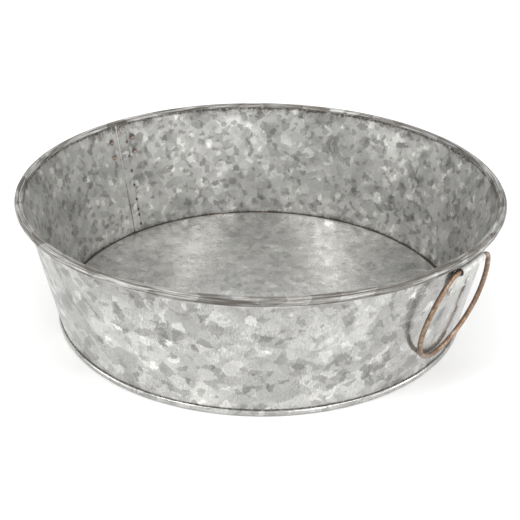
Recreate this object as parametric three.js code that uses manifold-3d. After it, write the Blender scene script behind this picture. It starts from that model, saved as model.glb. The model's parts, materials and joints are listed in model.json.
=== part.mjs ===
// Round galvanised oil drain pan with two swinging wire rings for handles.
// Millimetres, +Z up. The origin is the centre of the base, on the surface that the pan stands on.
// +X points from the centre to the middle of the right handle.
import * as THREE from 'three';
import { mergeVertices } from 'three/addons/utils/BufferGeometryUtils.js';
import Module from 'manifold-3d';

// ---- Driving dimensions ---------------------------------------------------------------------
// The pan
const RIM_RADIUS = 205;          // outside of the rolled rim
const PAN_HEIGHT = 116;          // ground to the top of the rim
const WALL_FLARE = 29.4;         // how much wider the rim is than the wall's foot, in radius
const FLOOR_HEIGHT = 5.5;        // ground to the top of the floor
const SHEET = 0.7;               // thickness of the wall and floor sheet

// The rolled rim and its wire
const BEAD_RADIUS = 3.5;         // outside radius of the roll
const RIM_WIRE_CLEARANCE = 0.4;  // wire to the inside of the roll
const ROLL_END_GAP = 0.35;       // free edge of the roll to the wall

// The folded joint between wall and floor
const CHIME_REACH = 1.63;        // how far the joint stands out from the wall at its own top
const CHIME_HEIGHT = 5.2;
const CHIME_CORNER = 1.2;        // outside rounding of the joint
const JOINT_GAP = 0.3;           // between the sheets that are folded together
const HOOK_TOP = 3.9;            // top of the wall's turned-up edge
const FLOOR_BEND = 2.4;          // top radius of the floor's turned-down edge
const SEALANT_DEPTH = 1.5;       // how deep the sealant fills the crease
const SEALANT_GAP = 0.12;

// The lapped side seam, inside the wall
const SEAM_AZIMUTH = 174;        // degrees
const SEAM_WIDTH = 10;

// The handles
const RIGHT_AZIMUTH = 0;         // degrees
const LEFT_AZIMUTH = 174.2;
const SLEEVE_RIM_GAP = 0.5;      // underside of the rim to the top of the sleeve, in height
const SLEEVE_WALL_GAP = 1.9;     // wall to the back of the sleeve, square to the wall
const RING_WIRE = 4;             // wire diameter
const RING_WIDTH = 84;           // between wire centres
const RING_BOTTOM = 20.93;       // ground to the wire centre at the bottom
const RING_FLAT_SPARE = 2.5;     // straight length of wire beyond each end of the sleeve
const RING_CORNER = 13;          // bend radius beside the straight length
const RING_END_GAP = 0.4;        // between the two ends of the wire, inside the sleeve
const RING_REST_GAP = 0.3;       // wire to wall where the ring leans on it

// The brackets
const BRACKET_WIDTH = 33;
const BRACKET_DROP = 25.5;       // hinge axis to the lower edge, in height
const BRACKET_SHEET = 0.8;
const BRACKET_GAP = 0.3;         // to the wall, and between the two layers
const BRACKET_CORNER = 3;        // rounding of the lower corners
const SLEEVE_CLEARANCE = 0.7;    // wire to the inside of the sleeve
const TAIL_DROP = 11;            // hinge axis to the lower edge of the inner layer, in height
const NECK_RADIUS = 1.2;         // bend where the sleeve closes on the inner layer

// The rivets, four to a bracket
const RIVET_EDGE = 4;            // rivet to the side edge of the bracket
const RIVET_DROPS = [20.5, 6.4]; // hinge axis to each of the two rows, in height
const RIVET_SHANK = 3;           // diameters
const RIVET_HEAD = 5.2;
const RIVET_FLARE = 5;
const RIVET_BORE = 1.6;          // hollow in the flared end
const RIVET_HEAD_HEIGHT = 1.1;
const RIVET_DOME = [[1, 0], [0.92, 0.45], [0.6, 0.87], [0, 1]]; // shares of the head's radius and height
const RIVET_FLARE_HEIGHT = 1;
const RIVET_GAP = 0.3;           // all round, to the sheets

// Facets
const AROUND = 60;               // round the pan
const SMALL_AROUND = 12;         // round a rivet
const WIRE_SIDES = 10;           // of a ring
const RING_STEPS = 56;
const RIM_WIRE_SIDES = 8;
const BRACKET_STEPS = 6;         // in each bend of a bracket
const ARC_STEP = 30;             // degrees, in the other small bends
const SAME_POINT = 1e-4;         // points closer than this are one
const SLOPE_ROUNDS = 8;          // to find the slope of the wall

// ---- Derived sizes --------------------------------------------------------------------------
const rad = THREE.MathUtils.degToRad;

const wallBaseRadius = RIM_RADIUS - WALL_FLARE;  // outside of the wall, where its slope meets the ground

// The wall's inner face runs straight from the base into the rim roll, as a tangent to it.
const beadCentre = new THREE.Vector2(RIM_RADIUS - BEAD_RADIUS, PAN_HEIGHT - BEAD_RADIUS);

function findWallSlope() {
  let slope = 0;
  for (let round = 0; round < SLOPE_ROUNDS; round += 1) {
    const innerFoot = wallBaseRadius - SHEET / Math.cos(slope);
    const across = beadCentre.x - innerFoot;
    const length = Math.hypot(across, beadCentre.y);
    slope = Math.atan2(across, beadCentre.y) - Math.asin(BEAD_RADIUS / length);
  }
  return slope;
}

const wallSlope = findWallSlope();
const slopeSin = Math.sin(wallSlope);
const slopeCos = Math.cos(wallSlope);

// Radius of the face that lies `depth` inside the outer face of the wall.
function wallRadius(height, depth = 0) {
  return wallBaseRadius + height * Math.tan(wallSlope) - depth / slopeCos;
}

// Distance up the slope of a point at `height` that stands `offset` off the wall.
function upSlope(height, offset = 0) {
  return (height + offset * slopeSin) / slopeCos;
}

// ---- Helpers --------------------------------------------------------------------------------
const wasm = await Module();
wasm.setup();

function toSolid(geometry) {
  const bare = geometry.clone();
  bare.deleteAttribute('normal');
  bare.deleteAttribute('uv');
  const merged = mergeVertices(bare, SAME_POINT);
  return new wasm.Manifold(new wasm.Mesh({
    numProp: 3,
    vertProperties: new Float32Array(merged.attributes.position.array),
    triVerts: new Uint32Array(merged.index.array),
  }));
}

function toGeometry(solid) {
  const mesh = solid.getMesh();
  const geometry = new THREE.BufferGeometry();
  geometry.setAttribute('position', new THREE.BufferAttribute(new Float32Array(mesh.vertProperties), 3));
  geometry.setIndex(new THREE.BufferAttribute(new Uint32Array(mesh.triVerts), 1));
  geometry.computeVertexNormals();
  return geometry;
}

function arc(centreX, centreY, radius, fromDegrees, toDegrees, step = ARC_STEP) {
  const count = Math.max(2, Math.ceil(Math.abs(toDegrees - fromDegrees) / step));
  return Array.from({ length: count + 1 }, (_, i) => {
    const angle = rad(fromDegrees + ((toDegrees - fromDegrees) * i) / count);
    return new THREE.Vector2(centreX + radius * Math.cos(angle), centreY + radius * Math.sin(angle));
  });
}

const point = (x, y) => new THREE.Vector2(x, y);

// Turns an outline of (radius, height) points, counterclockwise, about the vertical axis.
function turned(outline, segments = AROUND, closed = true) {
  const points = closed ? [...outline, outline[0].clone()] : outline;
  return new THREE.LatheGeometry(points, segments).rotateX(Math.PI / 2);
}

function material(color, roughness, metalness) {
  return new THREE.MeshStandardMaterial({ color, roughness, metalness });
}

function named(name, geometry, finish) {
  const mesh = new THREE.Mesh(geometry, finish);
  mesh.name = name;
  return mesh;
}

// ---- Wall: cone, rolled rim, hooked lower edge, lapped seam ---------------------------------
const chimeRadius = wallRadius(CHIME_HEIGHT) + CHIME_REACH;
const hookOutside = chimeRadius - SHEET - JOINT_GAP;
const wallBottom = SHEET + JOINT_GAP;

function wallOutline() {
  const slopeDegrees = THREE.MathUtils.radToDeg(wallSlope);
  const innerRadius = BEAD_RADIUS - SHEET;
  const endTurn = THREE.MathUtils.radToDeg(Math.acos((innerRadius - ROLL_END_GAP) / BEAD_RADIUS));
  const rollStart = 180 - slopeDegrees;
  const rollEnd = rollStart + endTurn - 360;
  const hookInside = hookOutside - SHEET;
  const hookFloor = wallBottom + SHEET;
  return [
    point(wallRadius(wallBottom, SHEET), wallBottom),
    point(hookOutside, wallBottom),
    point(hookOutside, HOOK_TOP),
    point(hookInside, HOOK_TOP),
    point(hookInside, hookFloor),
    point(wallRadius(hookFloor), hookFloor),
    ...arc(beadCentre.x, beadCentre.y, innerRadius, rollStart, rollEnd),
    ...arc(beadCentre.x, beadCentre.y, BEAD_RADIUS, rollEnd, rollStart),
  ];
}

function seamStrip() {
  const bottom = FLOOR_HEIGHT + JOINT_GAP;
  const top = beadCentre.y - BEAD_RADIUS;
  const sunk = SHEET / 2;
  const thickness = SHEET + sunk;
  const strip = new THREE.BoxGeometry(thickness, SEAM_WIDTH, (top - bottom) / slopeCos);
  strip.translate(-SHEET + sunk - thickness / 2, 0, upSlope((top + bottom) / 2));
  strip.rotateY(wallSlope);
  strip.translate(wallBaseRadius, 0, 0);
  strip.rotateZ(rad(SEAM_AZIMUTH));
  return strip;
}

// ---- Floor: recessed disc whose edge folds down, under and over the wall's hook --------------
function floorOutline() {
  const skirtDepth = SHEET + JOINT_GAP;            // outer face of the skirt, inside the wall's face
  const bendInner = FLOOR_BEND - SHEET;
  const bendX = wallRadius(FLOOR_HEIGHT - FLOOR_BEND, skirtDepth) - FLOOR_BEND;
  const bendY = FLOOR_HEIGHT - FLOOR_BEND;
  const skirtInside = wallRadius(0, skirtDepth + SHEET);
  const lipEnd = wallRadius(CHIME_HEIGHT) + JOINT_GAP;
  const lipUnder = CHIME_HEIGHT - SHEET;
  const chimeInside = chimeRadius - SHEET;
  const cornerX = chimeRadius - CHIME_CORNER;
  return [
    point(0, FLOOR_HEIGHT - SHEET),
    ...arc(bendX, bendY, bendInner, 90, 0),
    point(skirtInside + SHEET, 0),
    ...arc(cornerX, CHIME_CORNER, CHIME_CORNER, -90, 0),
    ...arc(cornerX, CHIME_HEIGHT - CHIME_CORNER, CHIME_CORNER, 0, 90),
    point(lipEnd, CHIME_HEIGHT),
    point(lipEnd, lipUnder),
    point(chimeInside, lipUnder),
    point(chimeInside, SHEET),
    point(wallRadius(SHEET, skirtDepth), SHEET),
    ...arc(bendX, bendY, FLOOR_BEND, 0, 90),
    point(0, FLOOR_HEIGHT),
  ];
}

// Sealant in the crease, between the floor's bend and the wall.
function sealantOutline() {
  const bendY = FLOOR_HEIGHT - FLOOR_BEND;
  const bendX = wallRadius(bendY, SHEET + JOINT_GAP) - FLOOR_BEND;
  const top = FLOOR_HEIGHT - SEALANT_GAP;
  const bottom = FLOOR_HEIGHT - SEALANT_DEPTH;
  const radius = FLOOR_BEND + SEALANT_GAP;
  const lowAngle = THREE.MathUtils.radToDeg(Math.asin((bottom - bendY) / radius));
  const highAngle = THREE.MathUtils.radToDeg(Math.asin((top - bendY) / radius));
  const depth = SHEET + SEALANT_GAP;
  return [
    ...arc(bendX, bendY, radius, highAngle, lowAngle),
    point(wallRadius(bottom, depth), bottom),
    point(wallRadius(top, depth), top),
  ];
}

// ---- Handle frame ---------------------------------------------------------------------------
// X stands square off the wall, Y runs round it and Z climbs the slope.
const sleeveOutside = RING_WIRE / 2 + SLEEVE_CLEARANCE + BRACKET_SHEET;
const axisHeight = PAN_HEIGHT - 2 * BEAD_RADIUS - SLEEVE_RIM_GAP - sleeveOutside;
const axisOffset = sleeveOutside + SLEEVE_WALL_GAP;
const axisUp = upSlope(axisHeight, axisOffset);

function handleFrame(azimuth) {
  const turn = new THREE.Group();
  turn.rotation.z = rad(azimuth);
  const slope = new THREE.Group();
  slope.position.x = wallBaseRadius;
  slope.rotation.y = wallSlope;
  turn.add(slope);
  return { turn, slope };
}

// ---- Ring -----------------------------------------------------------------------------------
// The ring hangs from the hinge axis and leans on the wall at its lowest point.
const restOffset = RING_WIRE / 2 + RING_REST_GAP;
const ringDrop = Math.hypot(axisUp - upSlope(RING_BOTTOM, restOffset), axisOffset - restOffset);
const ringLean = Math.asin((axisOffset - restOffset) / ringDrop);

// Outline of the ring in its own plane: a straight top, two corners, slack sides, a round bottom.
function ringPath() {
  const half = RING_WIDTH / 2;
  const flat = BRACKET_WIDTH / 2 + RING_FLAT_SPARE;
  const roundCentre = -(ringDrop - half);
  const reach = half - flat;
  const fall = -roundCentre;
  const side = (reach ** 2 + (fall - RING_CORNER) ** 2 - RING_CORNER ** 2) / (2 * (reach - RING_CORNER));
  const sideX = half - side;
  const turn = Math.atan2(-RING_CORNER - roundCentre, flat - sideX);
  const path = new THREE.Path();
  path.moveTo(RING_END_GAP / 2, 0);
  path.lineTo(flat, 0);
  path.absarc(flat, -RING_CORNER, RING_CORNER, Math.PI / 2, turn, true);
  path.absarc(sideX, roundCentre, side, turn, 0, true);
  path.absarc(0, roundCentre, half, 0, -Math.PI, true);
  path.absarc(-sideX, roundCentre, side, Math.PI, Math.PI - turn, true);
  path.absarc(-flat, -RING_CORNER, RING_CORNER, Math.PI - turn, Math.PI / 2, true);
  path.lineTo(-RING_END_GAP / 2, 0);
  return path;
}

class RingCurve extends THREE.Curve {
  constructor() {
    super();
    this.path = ringPath();
  }

  getPoint(t, target = new THREE.Vector3()) {
    const flat = this.path.getPointAt(t);
    return target.set(0, flat.x, flat.y);
  }
}

function ringGeometry() {
  const section = new THREE.Shape();
  section.setFromPoints(Array.from({ length: WIRE_SIDES }, (_, i) => {
    const angle = (2 * Math.PI * i) / WIRE_SIDES;
    return point((RING_WIRE / 2) * Math.cos(angle), (RING_WIRE / 2) * Math.sin(angle));
  }));
  return new THREE.ExtrudeGeometry(section, { steps: RING_STEPS, extrudePath: new RingCurve() });
}

// ---- Bracket --------------------------------------------------------------------------------
// One strip: the outer layer climbs the wall, wraps over the ring's wire as a sleeve and
// comes down again as a short inner layer between the outer layer and the wall.
const sleeveMiddle = sleeveOutside - BRACKET_SHEET / 2;
const innerLayer = BRACKET_GAP + BRACKET_SHEET / 2;
const outerLayer = innerLayer + BRACKET_GAP + BRACKET_SHEET;
const bracketFace = outerLayer + BRACKET_SHEET / 2;
const bracketFoot = upSlope(axisHeight - BRACKET_DROP, outerLayer);

// Centre of the neck bend that is tangent to a vertical layer and to the sleeve's outside.
function neckCentre(layer) {
  const x = layer + NECK_RADIUS;
  const across = axisOffset - x;
  return point(x, axisUp - Math.sqrt((sleeveMiddle + NECK_RADIUS) ** 2 - across ** 2));
}

function bracketMiddle() {
  const outer = neckCentre(outerLayer);
  const toNeck = Math.atan2(outer.y - axisUp, outer.x - axisOffset);
  const halfway = (axisUp + outer.y) / 2;
  const path = new THREE.Path();
  path.moveTo(outerLayer, bracketFoot);
  path.lineTo(outerLayer, outer.y);
  path.absarc(outer.x, outer.y, NECK_RADIUS, Math.PI, toNeck + Math.PI, true);
  path.absarc(axisOffset, axisUp, sleeveMiddle, toNeck, Math.PI, false);
  path.bezierCurveTo(axisOffset - sleeveMiddle, halfway, innerLayer, halfway, innerLayer, outer.y);
  path.lineTo(innerLayer, upSlope(axisHeight - TAIL_DROP, innerLayer));
  return path;
}

function ribbon(middle, thickness) {
  const outline = { left: [], right: [] };
  middle.forEach((here, i) => {
    const before = middle[Math.max(i - 1, 0)];
    const after = middle[Math.min(i + 1, middle.length - 1)];
    const along = after.clone().sub(before).normalize();
    const square = point(-along.y, along.x).multiplyScalar(thickness / 2);
    outline.left.push(here.clone().add(square));
    outline.right.push(here.clone().sub(square));
  });
  return new THREE.Shape([...outline.right, ...outline.left.reverse()]);
}

function bracketGeometry() {
  const middle = bracketMiddle().getPoints(BRACKET_STEPS);
  const distinct = middle.filter((p, i) => i === 0 || p.distanceTo(middle[i - 1]) > SAME_POINT);
  const strip = new THREE.ExtrudeGeometry(ribbon(distinct, BRACKET_SHEET), {
    depth: BRACKET_WIDTH, bevelEnabled: false, steps: 1,
  });
  strip.translate(0, 0, -BRACKET_WIDTH / 2);
  strip.rotateX(Math.PI / 2);
  return strip;
}

// What is cut off the bracket's two lower corners to round them.
function cornerCutters() {
  const below = bracketFoot - BRACKET_GAP;
  const cornerUp = bracketFoot + BRACKET_CORNER;
  return [-1, 1].map((side) => {
    const edge = (side * BRACKET_WIDTH) / 2;
    const inner = edge - side * BRACKET_CORNER;
    const beyond = edge + side * BRACKET_GAP;
    const outline = new THREE.Shape();
    outline.moveTo(inner, below);
    outline.lineTo(beyond, below);
    outline.lineTo(beyond, cornerUp);
    outline.lineTo(edge, cornerUp);
    arc(inner, cornerUp, BRACKET_CORNER, side > 0 ? 0 : 180, side > 0 ? -90 : 270)
      .forEach((p) => outline.lineTo(p.x, p.y));
    const cutter = new THREE.ExtrudeGeometry(outline, { depth: 2 * bracketFace, bevelEnabled: false });
    return cutter.applyMatrix4(new THREE.Matrix4().set(
      0, 0, 1, 0,
      1, 0, 0, 0,
      0, 1, 0, 0,
      0, 0, 0, 1,
    ));
  });
}

// ---- Rivets ---------------------------------------------------------------------------------
// Half-hollow rivets: a domed head on the bracket, a flared hollow end inside the pan.
const rivetSide = BRACKET_WIDTH / 2 - RIVET_EDGE;

// How far the round wall falls behind its own tangent plane, `side` away from the middle.
function wallFall(side, height) {
  const radius = wallRadius(height);
  return radius - Math.sqrt(radius ** 2 - side ** 2);
}

function rivetGeometry(height) {
  const headSeat = bracketFace + RIVET_GAP;
  const deepest = wallFall(rivetSide + RIVET_FLARE / 2, height);
  const flareSeat = -(SHEET + deepest + RIVET_GAP);
  const shank = RIVET_SHANK / 2;
  const bore = RIVET_BORE / 2;
  const flare = RIVET_FLARE / 2;
  const head = RIVET_HEAD / 2;
  const flareEnd = flareSeat - RIVET_FLARE_HEIGHT;
  const outline = [
    point(0, flareSeat),
    point(bore, flareSeat),
    point(bore + (flare - bore) / 3, flareEnd),
    point(flare - (flare - bore) / 4, flareEnd),
    point(flare, flareSeat - RIVET_FLARE_HEIGHT / 2),
    point(flare - RIVET_GAP, flareSeat),
    point(shank, flareSeat),
    point(shank, headSeat),
    ...RIVET_DOME.map(([out, up]) => point(head * out, headSeat + RIVET_HEAD_HEIGHT * up)),
  ];
  // The lathe turns about Z; the rivet's own axis is X.
  return turned(outline, SMALL_AROUND, false).rotateY(Math.PI / 2);
}

// The hole for a rivet, long enough for the bracket's layers and the wall.
function rivetHole() {
  const radius = RIVET_SHANK / 2 + RIVET_GAP;
  return new THREE.CylinderGeometry(radius, radius, 2 * RIVET_HEAD, SMALL_AROUND).rotateZ(Math.PI / 2);
}

// Places of the four rivets in the handle frame, upper row last.
const rivetPlaces = RIVET_DROPS.flatMap((drop) => [-1, 1].map((side) => ({
  height: axisHeight - drop,
  y: side * rivetSide,
  z: upSlope(axisHeight - drop),
})));

// ---- Materials ------------------------------------------------------------------------------
const zinc = () => material(0xb4b4b0, 0.45, 0.9);
const bronze = () => material(0xa07a60, 0.4, 0.9);
const sealer = () => material(0x2a2420, 0.8, 0);

// ---- Assembly -------------------------------------------------------------------------------
function addHandle(pan, side, azimuth) {
  const { turn, slope } = handleFrame(azimuth);

  let bracket = toSolid(bracketGeometry());
  cornerCutters().forEach((cutter) => {
    bracket = bracket.subtract(toSolid(cutter));
  });
  rivetPlaces.forEach((place) => {
    bracket = bracket.subtract(toSolid(rivetHole().translate(0, place.y, place.z)));
  });
  slope.add(named(`bracket_${side}`, toGeometry(bracket), zinc()));

  rivetPlaces.forEach((place, i) => {
    const rivet = named(`rivet_${side}_${i + 1}`, rivetGeometry(place.height), zinc());
    rivet.position.set(0, place.y, place.z);
    slope.add(rivet);
  });

  const ring = named(`ring_${side}`, ringGeometry(), bronze());
  ring.position.set(axisOffset, 0, axisUp);
  ring.rotation.y = ringLean;
  slope.add(ring);
  pan.add(turn);
  turn.updateMatrixWorld(true);
  return rivetPlaces.map((place) => (
    rivetHole().translate(0, place.y, place.z).applyMatrix4(slope.matrixWorld)
  ));
}

function buildPan() {
  const pan = new THREE.Group();
  const holes = [
    ...addHandle(pan, 'right', RIGHT_AZIMUTH),
    ...addHandle(pan, 'left', LEFT_AZIMUTH),
  ];

  let wall = toSolid(turned(wallOutline())).add(toSolid(seamStrip()));
  holes.forEach((hole) => {
    wall = wall.subtract(toSolid(hole));
  });
  pan.add(named('side_wall', toGeometry(wall), zinc()));
  pan.add(named('bottom_disc', turned(floorOutline(), AROUND, false), zinc()));
  pan.add(named('seam_sealant', turned(sealantOutline()), sealer()));

  const wireRadius = BEAD_RADIUS - SHEET - RIM_WIRE_CLEARANCE;
  const wireStep = 360 / RIM_WIRE_SIDES;
  const rimWire = turned(arc(beadCentre.x, beadCentre.y, wireRadius, 0, 360 - wireStep, wireStep));
  pan.add(named('rim_wire', rimWire, material(0x8a8a88, 0.5, 0.9)));
  return pan;
}

export default buildPan();
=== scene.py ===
"""Looks for the galvanised oil drain pan: smooth sheet metal, spangled zinc, bronze wire rings."""
import json
import math

import bmesh
import bpy
from mathutils import Matrix, Vector, noise


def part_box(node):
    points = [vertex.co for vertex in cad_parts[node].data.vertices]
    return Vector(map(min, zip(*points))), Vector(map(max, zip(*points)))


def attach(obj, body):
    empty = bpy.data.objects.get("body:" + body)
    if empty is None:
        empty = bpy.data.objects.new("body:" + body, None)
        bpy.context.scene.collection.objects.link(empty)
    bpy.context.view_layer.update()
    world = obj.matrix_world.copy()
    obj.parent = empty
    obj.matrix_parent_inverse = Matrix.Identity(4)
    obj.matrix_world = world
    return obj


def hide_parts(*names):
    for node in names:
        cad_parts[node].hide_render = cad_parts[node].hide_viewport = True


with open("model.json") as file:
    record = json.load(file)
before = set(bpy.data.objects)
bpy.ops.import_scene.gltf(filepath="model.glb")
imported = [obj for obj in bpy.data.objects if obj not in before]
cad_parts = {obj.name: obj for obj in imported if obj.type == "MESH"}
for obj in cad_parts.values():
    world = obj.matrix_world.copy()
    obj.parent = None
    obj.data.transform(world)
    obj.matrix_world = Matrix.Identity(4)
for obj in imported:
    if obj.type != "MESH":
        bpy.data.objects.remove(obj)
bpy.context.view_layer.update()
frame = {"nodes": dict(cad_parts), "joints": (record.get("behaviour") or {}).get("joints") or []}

# ---- Sizes, in metres; the overall ones come from the frame -------------------------------------
MM = 0.001
WALL_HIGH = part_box("side_wall")[1]
DISC_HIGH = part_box("bottom_disc")[1]
RIM_RADIUS = WALL_HIGH.x
PAN_HEIGHT = WALL_HIGH.z
CHIME_RADIUS = DISC_HIGH.x
FLOOR_HEIGHT = DISC_HIGH.z
SHEET = 0.7 * MM
BEAD_RADIUS = 3.5 * MM
WALL_BASE_RADIUS = 175.6 * MM        # outside of the wall, where its slope meets the ground
CHIME_HEIGHT = 5.2 * MM
CHIME_CORNER = 1.9 * MM
CHIME_LIP_GAP = 0.55 * MM            # between the joint's lip and the wall, a dark line
JOINT_GAP = 0.3 * MM
HOOK_TOP = 3.9 * MM
FLOOR_BEND = 2.4 * MM
SEALANT_DEPTH = 1.5 * MM
SEALANT_GAP = 0.12 * MM
ROLL_END_GAP = 0.3 * MM
ROLL_FOOT = 109 * MM                 # where the outside of the wall runs under the roll
WALL_TOP = 111.5 * MM                # top of the wall's straight inside
ON_AXIS = 0.0001 * MM                # radius of an outline's points on its own axis
BEAD_CENTRE = (RIM_RADIUS - BEAD_RADIUS, PAN_HEIGHT - BEAD_RADIUS)

JOINTS = {joint["child"]: joint for joint in frame["joints"]}
SIDES = {"right": "right_ring", "left": "left_ring"}

SEAM_AZIMUTH = 174.0                 # degrees
SEAM_WIDTH = 10 * MM
SEAM_RADIUS = 188 * MM               # of the wall at the seam, at the welds and at the rivets:
WELD_RADIUS = 185 * MM               # they turn angles into lengths
RIVET_RADIUS = 190 * MM
WELD_HEIGHTS = [95.1, 81.1, 66.6, 51.9, 37.4, 27.3, 21.5, 12.1]   # millimetres above the ground
WELD_AZIMUTH = 172.65
WELD_PLACE = math.radians(WELD_AZIMUTH)

BRACKET_WIDTH = 33 * MM
BRACKET_BOTTOM = 79.5 * MM
BRACKET_SHEET = 0.8 * MM
BRACKET_GAP = 0.3 * MM
BRACKET_CORNER = 3 * MM
TAIL_BOTTOM = 94 * MM                # lower edge of the bracket's inner layer, above the ground
NECK_RADIUS = 1.2 * MM
RING_WIRE = 4 * MM
RING_WIDTH = 84 * MM
RING_DROP = 86.504 * MM              # hinge axis to the lowest point of the wire's middle
RING_FLAT = 38 * MM
RING_CORNER = 13 * MM
RING_END_GAP = 0.4 * MM
RING_REST_GAP = 0.3 * MM
SLEEVE_CLEARANCE = 0.7 * MM
RIVET_SPACING = 25 * MM
RIVET_ROWS = [84.5 * MM, 98.6 * MM]  # above the ground
RIVET_HEAD = 5.2 * MM

VIEW_AZIMUTH = 39.5                  # of the camera, in degrees, as are the next, the pitch and the roll
VIEW_ELEVATION = 26.45
VIEW_DISTANCE = 0.877
VIEW_PITCH = -1.089
VIEW_ROLL = 0.647
LENS = 69.23


def wall_slope():
    slope = 0.0
    for _ in range(8):
        foot = WALL_BASE_RADIUS - SHEET / math.cos(slope)
        across = BEAD_CENTRE[0] - foot
        length = math.hypot(across, BEAD_CENTRE[1])
        slope = math.atan2(across, BEAD_CENTRE[1]) - math.asin(BEAD_RADIUS / length)
    return slope


SLOPE = wall_slope()
SLOPE_SIN, SLOPE_COS = math.sin(SLOPE), math.cos(SLOPE)


def wall_radius(height, depth=0.0):
    return WALL_BASE_RADIUS + height * math.tan(SLOPE) - depth / SLOPE_COS


def up_slope(height, offset=0.0):
    return (height + offset * SLOPE_SIN) / SLOPE_COS


# ---- Camera -----------------------------------------------------------------------------------
def add_camera():
    azimuth, elevation = math.radians(VIEW_AZIMUTH), math.radians(VIEW_ELEVATION)
    away = Vector((math.sin(azimuth) * math.cos(elevation),
                   -math.cos(azimuth) * math.cos(elevation), math.sin(elevation)))
    forward = -away
    right = forward.cross(Vector((0, 0, 1))).normalized()
    up = right.cross(forward)
    pitch, roll = math.radians(VIEW_PITCH), math.radians(VIEW_ROLL)
    forward, up = (math.cos(pitch) * forward + math.sin(pitch) * up,
                   math.cos(pitch) * up - math.sin(pitch) * forward)
    right, up = (math.cos(roll) * right + math.sin(roll) * up,
                 math.cos(roll) * up - math.sin(roll) * right)
    data = bpy.data.cameras.new("camera")
    data.lens = LENS
    data.sensor_width = 36
    camera = bpy.data.objects.new("camera", data)
    place = Matrix((right, up, -forward)).transposed().to_4x4()
    place.translation = Vector((0, 0, PAN_HEIGHT / 2)) + VIEW_DISTANCE * away
    camera.matrix_world = place
    bpy.context.scene.collection.objects.link(camera)
    bpy.context.scene.camera = camera


# ---- Mesh helpers -----------------------------------------------------------------------------
def arc(cx, cy, radius, start, end, steps):
    return [(cx + radius * math.cos(math.radians(start + (end - start) * i / steps)),
             cy + radius * math.sin(math.radians(start + (end - start) * i / steps)))
            for i in range(steps + 1)]


def line(a, b, steps, ends=True):
    points = [(a[0] + (b[0] - a[0]) * i / steps, a[1] + (b[1] - a[1]) * i / steps) for i in range(steps + 1)]
    return points if ends else points[1:-1]


def eased_line(a, b, steps):
    """The inner points of a straight line, closer together towards both ends."""
    shares = [0.5 - 0.5 * math.cos(math.pi * i / steps) for i in range(1, steps)]
    shares = [0.55 * share + 0.45 * i / steps for i, share in enumerate(shares, 1)]
    return [(a[0] + (b[0] - a[0]) * share, a[1] + (b[1] - a[1]) * share) for share in shares]


def finish_mesh(name, vertices, faces, material, body, stands_for, sharp):
    """A piece that rides on a body and stands for nodes of the part. Edges over `sharp` degrees show."""
    mesh = bpy.data.meshes.new(name)
    mesh.from_pydata(vertices, [], faces)
    mesh.validate()
    mesh.shade_smooth()
    mesh.set_sharp_from_angle(angle=math.radians(sharp))
    mesh.materials.append(material)
    piece = bpy.data.objects.new(name, mesh)
    bpy.context.scene.collection.objects.link(piece)
    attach(piece, body)
    if stands_for:
        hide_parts(*stands_for)
    return piece


def turned_grid(outline, azimuths, shape, on_axis=False):
    """Turns a (radius, height) outline about Z. shape(radius, height, azimuth, index) moves each point."""
    vertices, faces = [], []
    rows = len(outline)
    for azimuth in azimuths:
        for index, (radius, height) in enumerate(outline):
            radius, height = shape(radius, height, azimuth, index)
            vertices.append((radius * math.cos(azimuth), radius * math.sin(azimuth), height))
    count = len(azimuths)
    last = rows - 1 if on_axis else rows
    for i in range(count):
        j = (i + 1) % count
        for k in range(last):
            m = (k + 1) % rows
            faces.append((i * rows + k, j * rows + k, j * rows + m, i * rows + m))
    return vertices, faces


def merge_close(piece):
    """Joins the points that a turned outline leaves together on its axis."""
    data = bmesh.new()
    data.from_mesh(piece.data)
    bmesh.ops.remove_doubles(data, verts=data.verts, dist=0.001 * MM)
    data.to_mesh(piece.data)
    data.free()


def soft_noise(azimuth, height, scale, seed):
    """Smooth noise from about -1 to 1 at a place on the wall."""
    place = Vector((RIVET_RADIUS * math.cos(azimuth), RIVET_RADIUS * math.sin(azimuth), height))
    return noise.noise(place * scale + Vector((seed, seed * 0.7, -seed)))


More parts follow.
